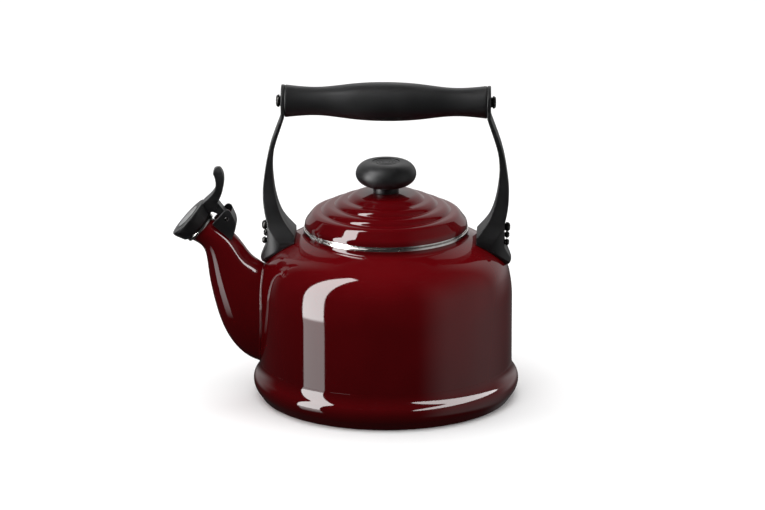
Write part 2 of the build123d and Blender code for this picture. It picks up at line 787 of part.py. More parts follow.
def cap_form(cavity):
    """The cap's solid about the mouth's axis, with its cavity and badge seat or without them."""
    with BuildPart() as form:
        with BuildSketch(mouth_section):
            with BuildLine():
                FilletPolyline(
                    (0, cap_base),
                    (cap_bottom_radius, cap_base),
                    (cap_radius - cap_flare, cap_base + cap_foot_height),
                    (cap_radius, cap_face - cap_band),
                    (cap_radius, cap_face),
                    (0, cap_face),
                    radius=[cap_edge_round, cap_edge_round, cap_soft_round, cap_edge_round],
                )
                Line((0, cap_face), (0, cap_base))
            make_face()
        revolve(axis=mouth_axis)
        if cavity:
            with BuildSketch(mouth_section):
                with Locations((0, cap_base)):
                    Rectangle(cap_cavity_radius, cap_height - cap_top_wall, align=(Align.MIN, Align.MIN))
                with Locations((0, cap_face - badge_recess)):
                    Rectangle(badge_radius + seat_clearance, badge_recess, align=(Align.MIN, Align.MIN))
            revolve(axis=mouth_axis, mode=Mode.SUBTRACT)
            vent_centre = mouth_centre + mouth_normal * (cap_face - cap_top_wall - cap_vent_height / 2)
            with BuildSketch(Plane(origin=vent_centre, x_dir=mouth_across, z_dir=(0, 1, 0))):
                Rectangle(cap_vent_width, cap_vent_height)
            extrude(amount=cap_radius, mode=Mode.SUBTRACT)
    return form.part


with BuildPart() as whistle_cap:
    add(cap_form(True))
save(whistle_cap.part, "whistle_cap")

with BuildPart() as cap_badge:
    with BuildSketch(mouth_section):
        with BuildLine():
            badge_seat = cap_face - badge_recess
            badge_shoulder = badge_seat + badge_height
            crest = TangentArc(
                (0, badge_shoulder + badge_dome),
                (badge_radius - badge_edge, badge_shoulder),
                tangent=(1, 0),
            )
            Polyline(
                crest @ 1,
                (badge_radius, cap_face),
                (badge_radius, badge_seat),
                (0, badge_seat),
                crest @ 0,
            )
        make_face()
    revolve(axis=mouth_axis)
save(cap_badge.part, "cap_badge")

plate_places = {"whistle_plate_inner": plate_place, "whistle_plate_outer": plate_place + plate_spacing}
for name, height in plate_places.items():
    with BuildPart() as whistle_plate:
        with BuildSketch(mouth_section):
            with Locations((plate_hole_radius, cap_base + height)):
                Rectangle(
                    cap_cavity_radius - plate_hole_radius, plate_thickness, align=(Align.MIN, Align.MIN)
                )
        revolve(axis=mouth_axis)
    save(whistle_plate.part, name)

with BuildPart() as whistle_lever:
    # The bar and the knuckle, narrow enough to turn between the lug's ears.
    with BuildSketch(Plane.XZ):
        with BuildLine():
            Polyline(*from_hinge(lever_bar), close=True)
        make_face()
        with Locations((hinge_x, hinge_height)):
            Circle(knuckle_radius)
    extrude(amount=lever_bar_half_width, both=True)
    # The thumb piece, curling up from the cap.
    with BuildSketch(Plane.XZ):
        with BuildLine():
            front = Spline(from_hinge(lever_front_line))
            rear = Spline(from_hinge(lever_rear_line))
            ThreePointArc(front @ 1, from_hinge([lever_tip])[0], rear @ 0)
            Polyline(rear @ 1, *from_hinge(lever_root), front @ 0)
        make_face()
    extrude(amount=lever_half_width, both=True)
    with BuildSketch(Plane.YZ.offset(-(body_radius + mouth_reach))):
        with BuildLine():
            edge = Spline([(y, hinge_height + z) for y, z in lever_side_line])
            mirror(edge, about=Plane.YZ)
            floor_height = hinge_height - 2 * knuckle_radius
            Polyline(
                edge @ 0,
                (lever_half_width, floor_height),
                (-lever_half_width, floor_height),
                (-(edge @ 0).X, (edge @ 0).Y),
            )
        make_face()
    extrude(amount=mouth_reach, mode=Mode.INTERSECT)
    with BuildSketch(Plane.XZ):
        with Locations((hinge_x, hinge_height)):
            Circle(pin_radius + running_clearance)
    extrude(amount=lever_half_width, both=True, mode=Mode.SUBTRACT)
    with BuildSketch(Plane.XZ):
        with Locations((hinge_x, hinge_height)):
            Circle(spring_room_radius)
    extrude(amount=spring_gap_half_width, both=True, mode=Mode.SUBTRACT)
    add(cap_form(False), mode=Mode.SUBTRACT)
save(whistle_lever.part, "whistle_lever")

with BuildPart() as whistle_spring:
    with BuildLine():
        pitch = 2 * (spring_gap_half_width - spring_wire_radius - side_clearance) / spring_turns
        coil = Helix(
            pitch,
            pitch * spring_turns,
            spring_coil_radius,
            center=(hinge_x, -pitch * spring_turns / 2, hinge_height),
            direction=(0, 1, 0),
        )
    with BuildSketch(Plane(origin=coil @ 0, z_dir=coil % 0)):
        Circle(spring_wire_radius)
    sweep(is_frenet=True)
save(whistle_spring.part, "whistle_spring")
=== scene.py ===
import json
import math

import bmesh
import bpy
import numpy as np
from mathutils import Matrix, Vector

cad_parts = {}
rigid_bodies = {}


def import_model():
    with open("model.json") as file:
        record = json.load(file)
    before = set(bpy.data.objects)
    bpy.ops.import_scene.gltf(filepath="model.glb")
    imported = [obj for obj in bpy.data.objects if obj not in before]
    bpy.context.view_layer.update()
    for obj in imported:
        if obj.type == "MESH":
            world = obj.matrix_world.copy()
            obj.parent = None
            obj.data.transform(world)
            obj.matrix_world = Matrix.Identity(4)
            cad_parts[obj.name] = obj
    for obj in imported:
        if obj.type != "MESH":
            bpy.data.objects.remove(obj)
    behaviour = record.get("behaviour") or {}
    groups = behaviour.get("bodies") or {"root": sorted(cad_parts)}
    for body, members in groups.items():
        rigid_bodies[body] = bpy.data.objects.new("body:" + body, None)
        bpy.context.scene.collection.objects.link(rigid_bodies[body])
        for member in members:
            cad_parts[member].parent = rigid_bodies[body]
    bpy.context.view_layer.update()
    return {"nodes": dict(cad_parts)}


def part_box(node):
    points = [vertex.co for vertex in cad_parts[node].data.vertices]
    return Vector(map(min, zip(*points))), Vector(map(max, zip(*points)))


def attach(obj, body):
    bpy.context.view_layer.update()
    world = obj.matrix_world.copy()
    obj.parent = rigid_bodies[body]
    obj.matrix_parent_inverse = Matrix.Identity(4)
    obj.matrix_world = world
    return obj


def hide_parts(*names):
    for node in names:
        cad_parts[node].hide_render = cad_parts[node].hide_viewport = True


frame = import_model()

# Stovetop whistling kettle.  Outlines are in millimetres, +Z up, spout towards -X.
MM = 0.001
MERGE = 2e-6  # metres; points closer than this become one


def node_box(name):
    """Lowest and highest corner of a frame node, in millimetres."""
    low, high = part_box(name)
    return np.array(low) / MM, np.array(high) / MM


# ---- places taken from the frame
body_low, body_high = node_box("body_shell")
pan_high = node_box("base_pan")[1]
rim_low, rim_high = node_box("opening_rim")
lid_low, lid_high = node_box("lid_shell")
collar_low, collar_high = node_box("lid_collar")
knob_low, knob_high = node_box("lid_knob")
spacer_low, spacer_high = node_box("knob_spacer")
grip_low, grip_high = node_box("handle_grip")

body_wall = 1.4
shoulder_start = 77.0
pan_flare = 5.0
body_radius = pan_high[0] - pan_flare
mouth_reach, mouth_height = 44.6, 128.7
mouth_centre = np.array([-(body_radius + mouth_reach), 0.0, mouth_height])
mouth_tilt = math.radians(47.5)
mouth_normal = np.array([-math.sin(mouth_tilt), 0.0, math.cos(mouth_tilt)])
mouth_across = np.array([math.cos(mouth_tilt), 0.0, math.sin(mouth_tilt)])
front_to_back = np.array([0.0, 1.0, 0.0])


# ---- outlines
def arc(start, heading, radius, turn, steps):
    """Points after the start of an arc, and its end heading.  Each is centre + radius * (sin, -cos)
    of the heading there; a positive turn, in degrees, goes to the left."""
    way = math.copysign(1.0, turn)
    first = math.radians(heading)
    centre = np.array(start) + way * radius * np.array([-math.sin(first), math.cos(first)])
    angle = first + np.radians(np.linspace(0.0, turn, steps + 1)[1:])
    return centre + way * radius * np.stack([np.sin(angle), -np.cos(angle)], 1), heading + turn


def rounded(corners, radii, steps=8):
    """Outline through corners, each but the first and last replaced by an arc that is tangent to
    both its sides: centre + radius * (cos, sin)."""
    corners = np.array(corners, float)
    points = [corners[:1]]
    for before, corner, after, radius in zip(corners, corners[1:], corners[2:], radii):
        to_before = (before - corner) / np.linalg.norm(before - corner)
        to_after = (after - corner) / np.linalg.norm(after - corner)
        half = math.acos(np.clip(to_before @ to_after, -1, 1)) / 2
        middle = (to_before + to_after) / np.linalg.norm(to_before + to_after)
        centre = corner + middle * radius / math.sin(half)
        start = corner + to_before * radius / math.tan(half) - centre
        end = corner + to_after * radius / math.tan(half) - centre
        first = math.atan2(start[1], start[0])
        turn = (math.atan2(end[1], end[0]) - first + math.pi) % (2 * math.pi) - math.pi
        angle = first + np.linspace(0.0, turn, steps + 1)
        points.append(centre + radius * np.stack([np.cos(angle), np.sin(angle)], 1))
    points.append(corners[-1:])
    return np.concatenate(points)


def rounded_ring(corners, radii, steps=6):
    """The same round a closed outline, starting half way along its last side."""
    corners = np.array(corners, float)
    middle = (corners[-1] + corners[0]) / 2
    return rounded([middle, *corners, middle], radii, steps)[:-1]


def ring_outline(inner, outer, low, high, radii):
    """Section of a four-sided ring between two radii and two heights, its corners rounded."""
    return rounded_ring([(inner, low), (outer, low), (outer, high), (inner, high)], radii)


def inside_of(outline, wall):
    """The outline moved by wall to the left of its direction, along the mean of the normals of the
    two pieces that meet at each point."""
    step = np.diff(outline, axis=0)
    step /= np.maximum(np.linalg.norm(step, axis=1), 1e-12)[:, None]
    along = np.concatenate([step[:1], step[:-1] + step[1:], step[-1:]])
    along /= np.linalg.norm(along, axis=1)[:, None]
    return outline + wall * np.stack([-along[:, 1], along[:, 0]], 1)


def smooth_curve(knots, samples):
    """Natural cubic spline through the knots, one row each, at samples from 0 to 1 of the summed
    chords: on each span the cubic whose second derivatives match its neighbours'."""
    knots = np.array(knots, float)
    chord = np.linalg.norm(np.diff(knots, axis=0), axis=1)
    place = np.concatenate([[0.0], np.cumsum(chord)])
    count = len(knots)
    system = np.eye(count)
    right = np.zeros_like(knots)
    inner = np.arange(1, count - 1)
    system[inner, inner - 1] = chord[inner - 1]
    system[inner, inner] = 2 * (chord[inner - 1] + chord[inner])
    system[inner, inner + 1] = chord[inner]
    slope = np.diff(knots, axis=0) / chord[:, None]
    right[inner] = 6 * (slope[inner] - slope[inner - 1])
    bend = np.linalg.solve(system, right)
    at = np.asarray(samples) * place[-1]
    span = np.clip(np.searchsorted(place, at, side="right") - 1, 0, count - 2)
    left = ((place[span + 1] - at) / chord[span])[:, None]
    share = 1 - left
    cubic = (left**3 - left) * bend[span] + (share**3 - share) * bend[span + 1]
    return left * knots[span] + share * knots[span + 1] + cubic * chord[span][:, None] ** 2 / 6


# ---- making pieces
def grid_faces(rows, columns, wrap_rows, wrap_columns=True):
    """Four corners of each cell of a grid of points, wrapped in either direction if asked."""
    row = np.arange(rows if wrap_rows else rows - 1)
    column = np.arange(columns if wrap_columns else columns - 1)
    r, c = np.meshgrid(row, column, indexing="ij")
    next_r, next_c = (r + 1) % rows, (c + 1) % columns
    corners = [r * columns + c, r * columns + next_c, next_r * columns + next_c, next_r * columns + c]
    return np.stack(corners, -1).reshape(-1, 4)


def add_piece(name, mesh, body, material, replaced, sharp):
    """Puts a finished mesh into the scene with its body, slot, material and shading."""
    mesh.polygons.foreach_set("use_smooth", np.ones(len(mesh.polygons), bool))
    if sharp:
        mesh.set_sharp_from_angle(angle=math.radians(sharp))
    piece = bpy.data.objects.new(name, mesh)
    bpy.context.scene.collection.objects.link(piece)
    mesh.materials.clear()
    mesh.materials.append(material)
    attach(piece, body)
    if replaced:
        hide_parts(*replaced)
    return piece


def mesh_piece(name, points, faces, body, material, replaced=(), sharp=None, lining=None):
    """A piece from points in millimetres and four-cornered faces: seams and poles are merged, then
    the faces are turned outward.  lining is a share from 0 to 1 at each point."""
    points = np.asarray(points, float).reshape(-1, 3) * MM
    mesh = bpy.data.meshes.new(name)
    mesh.vertices.add(len(points))
    mesh.vertices.foreach_set("co", points.ravel())
    mesh.loops.add(faces.size)
    mesh.loops.foreach_set("vertex_index", faces.ravel())
    mesh.polygons.add(len(faces))
    mesh.polygons.foreach_set("loop_start", np.arange(0, faces.size, 4))
    mesh.update(calc_edges=True)
    if lining is not None:
        share = mesh.attributes.new("lining", "FLOAT", "POINT")
        share.data.foreach_set("value", np.asarray(lining, float).ravel())
    work = bmesh.new()
    work.from_mesh(mesh)
    bmesh.ops.delete(work, geom=[point for point in work.verts if not point.link_faces], context="VERTS")
    bmesh.ops.remove_doubles(work, verts=work.verts, dist=MERGE)
    bmesh.ops.recalc_face_normals(work, faces=work.faces)
    work.to_mesh(mesh)
    work.free()
    return add_piece(name, mesh, body, material, replaced, sharp)


def turned_points(outline, around, centre=(0, 0, 0), first=(1, 0, 0), second=(0, 1, 0), axis=(0, 0, 1)):
    """Each outline point (radius, height) carried round: centre + radius * (cos a * first + sin a *
    second) + height * axis."""
    angle = np.linspace(0, 2 * math.pi, around, endpoint=False)
    cosine, sine = np.cos(angle)[:, None], np.sin(angle)[:, None]
    ring = cosine * np.array(first, float) + sine * np.array(second, float)
    outline = np.asarray(outline, float)
    flat = outline[:, 0, None, None] * ring
    return np.array(centre, float) + flat + outline[:, 1, None, None] * np.array(axis, float)


def turned(
    name, outline, closed, body, slot, material, replaced=(), sharp=None, around=192, lining=None, **place
):
    """A surface of revolution; a closed outline is a ring, an open one runs from axis to axis.
    lining is a share at each point of the outline."""
    points = turned_points(outline, around, **place)
    faces = grid_faces(points.shape[0], around, closed)
    if lining is not None:
        lining = np.repeat(np.asarray(lining, float), around)
    return mesh_piece(name, points, faces, body, material, replaced, sharp, lining)


about_mouth = {
    "centre": mouth_centre,
    "first": mouth_across,
    "second": front_to_back,
    "axis": mouth_normal,
}


def merged_solid(name, node):
    """Mesh of the node's solid with its doubled points merged."""
    mesh = bpy.data.meshes.new(name)
    work = bmesh.new()
    work.from_mesh(frame["nodes"][node].data)
    bmesh.ops.remove_doubles(work, verts=work.verts, dist=MERGE)
    work.to_mesh(mesh)
    work.free()
    return mesh


def moulded_copy(name, node, voxel, softening, body, material):
    """The node's solid, merged, rebuilt as even cells voxel millimetres wide and relaxed softening
    times, each point moving half way to the mean of its neighbours, so that its edges are rounded
    as a moulding's are."""
    solid = bpy.data.objects.new(name + "_solid", merged_solid(name + "_solid", node))
    bpy.context.scene.collection.objects.link(solid)
    cells = solid.modifiers.new("cells", "REMESH")
    cells.mode = "VOXEL"
    cells.voxel_size = voxel * MM
    relaxed = solid.modifiers.new("relaxed", "SMOOTH")
    relaxed.factor = 0.5
    relaxed.iterations = softening
    depsgraph = bpy.context.evaluated_depsgraph_get()
    moulded = bpy.data.meshes.new_from_object(solid.evaluated_get(depsgraph))
    bpy.data.objects.remove(solid)
    moulded.name = name
    return add_piece(name, moulded, body, material, [node], None)


def finished_copy(name, node, body, material, sharp=30):
    """The node's solid, merged so that its curved faces shade smoothly, with edges past the angle
    sharp kept crisp."""
    return add_piece(name, merged_solid(name, node), body, material, [node], sharp)


# ---- shader groups
def new_group(name, inputs, outputs):
    """Empty shader group with named number inputs (name, value) and outputs (name, type)."""
    group = bpy.data.node_groups.new(name, "ShaderNodeTree")
    for label, value in inputs:
        socket = group.interface.new_socket(label, in_out="INPUT", socket_type="NodeSocketFloat")
        socket.default_value = value
    for label, kind in outputs:
        group.interface.new_socket(label, in_out="OUTPUT", socket_type=kind)
    entry = group.nodes.new("NodeGroupInput")
    leave = group.nodes.new("NodeGroupOutput")
    return group, entry, leave


def add_node(tree, kind, links=(), **values):
    """A node of a tree: values are set on the node or on its named sockets, links join (output,
    input name or number)."""
    node = tree.nodes.new(kind)
    for label, value in values.items():
        if hasattr(node, label):
            setattr(node, label, value)
        else:
            node.inputs[label.replace("_", " ")].default_value = value
    for output, socket in links:
        tree.links.new(output, node.inputs[socket])
    return node


def object_place(tree):
    """Place of the shaded point in its object's own space."""
    return add_node(tree, "ShaderNodeTexCoord").outputs["Object"]


def noise(tree, place, scale, detail):
    """Noise over place; scale is an output or a number."""
    node = add_node(tree, "ShaderNodeTexNoise", [(place, "Vector")], Detail=detail)
    if isinstance(scale, bpy.types.NodeSocket):
        tree.links.new(scale, node.inputs["Scale"])
    else:
        node.inputs["Scale"].default_value = scale
    return node.outputs[0]


def math_node(tree, operation, first, second, clamp=False):
    """One arithmetic step; first and second are outputs or numbers."""
    node = tree.nodes.new("ShaderNodeMath")
    node.operation = operation
    node.use_clamp = clamp
    for place, value in enumerate((first, second)):
        if isinstance(value, (int, float)):
            node.inputs[place].default_value = value
        else:
            tree.links.new(value, node.inputs[place])
    return node.outputs[0]


def range_node(tree, value, low, high, to_low=0.0, to_high=1.0, smooth=True):
    """value carried from low..high to to_low..to_high, with soft ends if smooth."""
    node = tree.nodes.new("ShaderNodeMapRange")
    node.interpolation_type = "SMOOTHSTEP" if smooth else "LINEAR"
    for place, number in zip((1, 2, 3, 4), (low, high, to_low, to_high)):
        node.inputs[place].default_value = number
    tree.links.new(value, node.inputs[0])
    return node.outputs[0]


def mix_colour(tree, share, first, second):
    """Colour between first and second by share; each is an output, a colour or a number."""
    node = tree.nodes.new("ShaderNodeMix")
    node.data_type = "RGBA"
    for place, value in ((0, share), (6, first), (7, second)):
        if isinstance(value, bpy.types.NodeSocket):
            tree.links.new(value, node.inputs[place])
        elif place:
            node.inputs[place].default_value = (*value, 1.0)
        else:
            node.inputs[place].default_value = value
    return node.outputs[2]


def mix_number(tree, share, first, second):
    """Number between first and second by share."""
    node = tree.nodes.new("ShaderNodeMix")
    for place, value in ((0, share), (2, first), (3, second)):
        if isinstance(value, bpy.types.NodeSocket):
            tree.links.new(value, node.inputs[place])
        else:
            node.inputs[place].default_value = value
    return node.outputs[0]


def grain_group():
    """Grain: a height made of two noises of different size, as a bumped normal and a share."""
    group, entry, leave = new_group(
        "SurfaceGrain",
        [("Scale", 900.0), ("Depth", 0.02), ("Coarse", 0.3)],
        [("Normal", "NodeSocketVector"), ("Share", "NodeSocketFloat")],
    )
    place = object_place(group)
    scale = entry.outputs["Scale"]
    fine = noise(group, place, scale, 3.0)
    wide = noise(group, place, math_node(group, "MULTIPLY", scale, 0.13), 2.0)
    mixed = group.nodes.new("ShaderNodeMix")
    group.links.new(entry.outputs["Coarse"], mixed.inputs[0])
    group.links.new(fine, mixed.inputs[2])
    group.links.new(wide, mixed.inputs[3])
    depth = math_node(group, "MULTIPLY", entry.outputs["Depth"], MM)
    bump = add_node(group, "ShaderNodeBump", [(mixed.outputs[0], "Height"), (depth, "Distance")])
    group.links.new(bump.outputs[0], leave.inputs["Normal"])
    group.links.new(mixed.outputs[0], leave.inputs["Share"])
    return group


def wear_group():
    """EdgeWear: share of wear, where the surface is convex and a noise is high."""
    group, entry, leave = new_group(
        "EdgeWear", [("Start", 0.52), ("Spread", 0.06), ("Patches", 120.0)], [("Share", "NodeSocketFloat")]
    )
    crest = add_node(group, "ShaderNodeNewGeometry").outputs["Pointiness"]
    above = math_node(group, "SUBTRACT", crest, entry.outputs["Start"])
    edge = math_node(group, "DIVIDE", above, entry.outputs["Spread"], clamp=True)
    place = object_place(group)
    patch = noise(group, place, entry.outputs["Patches"], 4.0)
    some = range_node(group, patch, 0.35, 0.65)
    group.links.new(math_node(group, "MULTIPLY", edge, some), leave.inputs["Share"])
    return group


def dust_group():
    """Dust: share of dust, which lies on faces that look up, in soft patches."""
    group, entry, leave = new_group("LightDust", [("Amount", 0.1)], [("Share", "NodeSocketFloat")])
    normal = add_node(group, "ShaderNodeNewGeometry").outputs["Normal"]
    split = add_node(group, "ShaderNodeSeparateXYZ", [(normal, 0)])
    up = range_node(group, split.outputs[2], 0.1, 1.0)
    place = object_place(group)
    patch = noise(group, place, 70.0, 6.0)
    soft = range_node(group, patch, 0.3, 0.7)
    share = math_node(group, "MULTIPLY", math_node(group, "MULTIPLY", up, soft), entry.outputs["Amount"])
    group.links.new(share, leave.inputs["Share"])
    return group


def spin_group():
    """SpunLines: fine turning lines round an axis, as a bumped normal and a share.  The height is a
    noise of the distance from the axis, which is given by a centre and a direction on the inputs."""
    group = bpy.data.node_groups.new("SpunLines", "ShaderNodeTree")
    for label in ("Centre", "Axis"):
        group.interface.new_socket(label, in_out="INPUT", socket_type="NodeSocketVector")
    for label in ("Lines", "Depth"):
        group.interface.new_socket(label, in_out="INPUT", socket_type="NodeSocketFloat")
    group.interface.new_socket("Normal", in_out="OUTPUT", socket_type="NodeSocketVector")
    group.interface.new_socket("Share", in_out="OUTPUT", socket_type="NodeSocketFloat")
    entry, leave = group.nodes.new("NodeGroupInput"), group.nodes.new("NodeGroupOutput")
    place = object_place(group)

    def vector_node(operation, first, second=None):
        node = group.nodes.new("ShaderNodeVectorMath")
        node.operation = operation
        group.links.new(first, node.inputs[0])
        if second is not None:
            group.links.new(second, node.inputs[1])
        return node

    out = vector_node("SUBTRACT", place, entry.outputs["Centre"]).outputs[0]
    cross = vector_node("CROSS_PRODUCT", out, entry.outputs["Axis"]).outputs[0]
    distance = vector_node("LENGTH", cross).outputs["Value"]
    height = vector_node("DOT_PRODUCT", out, entry.outputs["Axis"]).outputs["Value"]
    pair = add_node(group, "ShaderNodeCombineXYZ", [(distance, 0), (height, 1)])
    lines = noise(group, pair.outputs[0], entry.outputs["Lines"], 4.0)
    depth = math_node(group, "MULTIPLY", entry.outputs["Depth"], MM)
    bump = add_node(group, "ShaderNodeBump", [(lines, "Height"), (depth, "Distance")])
    group.links.new(bump.outputs[0], leave.inputs["Normal"])
    group.links.new(lines, leave.inputs["Share"])
    return group


surface_grain, edge_wear, light_dust, spun_lines = grain_group(), wear_group(), dust_group(), spin_group()


def place_group(tree, group, **values):
    """The group in a material, with its own values."""
    node = tree.nodes.new("ShaderNodeGroup")
    node.node_tree = group
    for label, value in values.items():
        node.inputs[label].default_value = value
    return node


# ---- materials
def new_material(name, **values):
    """Material with one Principled shader; values go straight onto its sockets."""
    material = bpy.data.materials.new(name)
    material.use_nodes = True
    tree = material.node_tree
    shader = tree.nodes["Principled BSDF"]
    for label, value in values.items():
        shader.inputs[label.replace("_", " ")].default_value = value
    return material, tree, shader


def enamel(name, bright, deep, painted_foot_shade):
    """Glassy cherry enamel: slow mottling between two reds, painted shade that darkens it towards
    the foot by the share given for it, a faint orange peel, and a charcoal lining where the lining share is
    1."""
    material, tree, shader = new_material(name, IOR=1.5, Specular_IOR_Level=0.5)
    place = object_place(tree)
    cloud = noise(tree, place, 22.0, 3.0)
    red = mix_colour(tree, range_node(tree, cloud, 0.3, 0.7), bright, deep)
    height = add_node(tree, "ShaderNodeSeparateXYZ", [(place, 0)]).outputs[2]
    # painted shade: below 85 mm the red is mixed towards a darker red, more so nearer the foot
    low = range_node(tree, height, 0.085, 0.0, 0.0, painted_foot_shade)
    red = mix_colour(tree, low, red, tuple(value * 0.45 for value in deep))
    speck = noise(tree, place, 260.0, 2.0)
    lining_tone = mix_colour(
        tree, range_node(tree, speck, 0.58, 0.66), (0.012, 0.012, 0.014), (0.10, 0.10, 0.11)
    )
    lining = add_node(tree, "ShaderNodeAttribute", attribute_name="lining").outputs["Fac"]
    tree.links.new(mix_colour(tree, lining, red, lining_tone), shader.inputs["Base Color"])
    peel = place_group(tree, surface_grain, Scale=210.0, Depth=0.0035, Coarse=0.55)
    tree.links.new(peel.outputs["Normal"], shader.inputs["Normal"])
    smear = noise(tree, place, 34.0, 5.0)
    tree.links.new(range_node(tree, smear, 0.3, 0.75, 0.035, 0.075), shader.inputs["Roughness"])
    return material


def bright_metal(name, tone, dull, lines, depth, roughness, centre=(0, 0, 0), axis=(0, 0, 1), band=None):
    """Turned or polished metal: fine lines round its axis, tone between tone and dull along them, and
    the tone band where the lining share is 1."""
    material, tree, shader = new_material(name, Metallic=1.0)
    spin = place_group(tree, spun_lines, Centre=centre, Axis=axis, Lines=lines, Depth=depth)
    place = object_place(tree)
    film = noise(tree, place, 180.0, 4.0)
    share = range_node(tree, film, 0.35, 0.7)
    metal = mix_colour(tree, share, tone, dull)
    if band:
        lining = add_node(tree, "ShaderNodeAttribute", attribute_name="lining").outputs["Fac"]
        metal = mix_colour(tree, lining, metal, band)
    tree.links.new(metal, shader.inputs["Base Color"])
    rub = math_node(tree, "ADD", math_node(tree, "MULTIPLY", share, 0.5), spin.outputs["Share"])
    tree.links.new(range_node(tree, rub, 0.3, 1.1, *roughness), shader.inputs["Roughness"])
    tree.links.new(spin.outputs["Normal"], shader.inputs["Normal"])
    return material


def black_moulding(name, dark, worn, roughness, grain_scale, grain_depth, dust):
    """Moulded black plastic: fine grain, paler rubbed edges, roughness that varies, light dust."""
    material, tree, shader = new_material(name, IOR=1.5)
    grain = place_group(tree, surface_grain, Scale=grain_scale, Depth=grain_depth, Coarse=0.25)
    rubbed = place_group(tree, edge_wear).outputs["Share"]
    lying = place_group(tree, light_dust, Amount=dust).outputs["Share"]
    place = object_place(tree)
    cloud = noise(tree, place, 60.0, 5.0)
    tone = mix_colour(tree, range_node(tree, cloud, 0.3, 0.7), dark, tuple(v * 1.5 for v in dark))
    tone = mix_colour(tree, rubbed, tone, worn)
    tree.links.new(mix_colour(tree, lying, tone, (0.22, 0.21, 0.20)), shader.inputs["Base Color"])
    varied = range_node(tree, cloud, 0.3, 0.7, roughness - 0.05, roughness + 0.06)
    rough = math_node(tree, "SUBTRACT", varied, math_node(tree, "MULTIPLY", rubbed, 0.12), clamp=True)
    tree.links.new(rough, shader.inputs["Roughness"])
    tree.links.new(grain.outputs["Normal"], shader.inputs["Normal"])
    return material


# The body's red carries painted shade towards its foot; the lid's carries none.
body_enamel = enamel(
    "cherry_enamel", bright=(0.112, 0.0016, 0.0032), deep=(0.094, 0.0010, 0.0024), painted_foot_shade=0.55
)
lid_enamel = enamel(
    "cherry_lid_enamel", bright=(0.106, 0.0016, 0.0032), deep=(0.090, 0.0010, 0.0024), painted_foot_shade=0.0
)
on_mouth = {"centre": tuple(mouth_centre * MM), "axis": tuple(mouth_normal)}
rim_steel = bright_metal(
    "rim_steel", (0.86, 0.84, 0.82), (0.74, 0.72, 0.70), lines=500.0, depth=0.0004, roughness=(0.14, 0.24)
)
mouth_steel = bright_metal(
    "mouth_rim_steel",
    (0.80, 0.79, 0.77),
    (0.66, 0.65, 0.63),
    lines=500.0,
    depth=0.0004,
    roughness=(0.14, 0.26),
    **on_mouth,
)
badge_metal = bright_metal(
    "badge_aluminium",
    (0.60, 0.60, 0.61),
    (0.50, 0.50, 0.51),
    lines=900.0,
    depth=0.0016,
    roughness=(0.28, 0.42),
    band=(0.035, 0.035, 0.036),
    **on_mouth,
)
screw_steel = bright_metal(
    "blackened_steel",
    (0.060, 0.058, 0.056),
    (0.030, 0.029, 0.028),
    lines=500.0,
    depth=0.0006,
    roughness=(0.24, 0.4),
)
plate_steel = bright_metal(
    "plate_steel", (0.60, 0.59, 0.57), (0.45, 0.44, 0.43), lines=500.0, depth=0.0008, roughness=(0.25, 0.4)
)
spring_steel = bright_metal(
    "spring_steel", (0.50, 0.49, 0.48), (0.33, 0.32, 0.31), lines=500.0, depth=0.0006, roughness=(0.2, 0.35)
)
insert_brass = bright_metal(
    "insert_brass", (0.72, 0.50, 0.20), (0.48, 0.31, 0.12), lines=500.0, depth=0.0008, roughness=(0.22, 0.4)
)
black_phenolic = black_moulding(
    "black_phenolic",
    dark=(0.0060, 0.0060, 0.0064),
    worn=(0.036, 0.035, 0.034),
    roughness=0.44,
    grain_scale=850.0,
    grain_depth=0.05,
    dust=0.015,
)
black_nylon = black_moulding(
    "black_nylon",
    dark=(0.0072, 0.0072, 0.0076),
    worn=(0.040, 0.040, 0.041),
    roughness=0.36,
    grain_scale=1100.0,
    grain_depth=0.02,
    dust=0.015,
)


# ---- body and base
def body_outline():
    """Outer line of the body: straight wall, three arcs of the shoulder, a straight slope and the
    neck's arc up to the collar, as (radius, height)."""
    line = np.stack([np.full(24, body_radius), np.linspace(body_low[2], shoulder_start, 24)], 1)
    heading = 90.0
    for radius, turn, steps in ((88.0, 12.6, 10), (32.0, 46.4, 22), (110.0, 7.0, 5)):
        points, heading = arc(line[-1], heading, radius, turn, steps)
        line = np.concatenate([line, points])
    lean = math.radians(heading - 90.0)
    collar_radius = lid_high[0] + 0.3
    slope = (line[-1][0] - 3.0 * (1 - math.cos(lean)) - collar_radius) / math.sin(lean)
    step = slope * np.array([-math.sin(lean), math.cos(lean)])
    line = np.concatenate([line, line[-1] + step * np.linspace(0.25, 1.0, 4)[:, None]])
    points, heading = arc(line[-1], heading, 3.0, -math.degrees(lean), 8)
    return np.concatenate([line, points, [[collar_radius, body_high[2]]]])


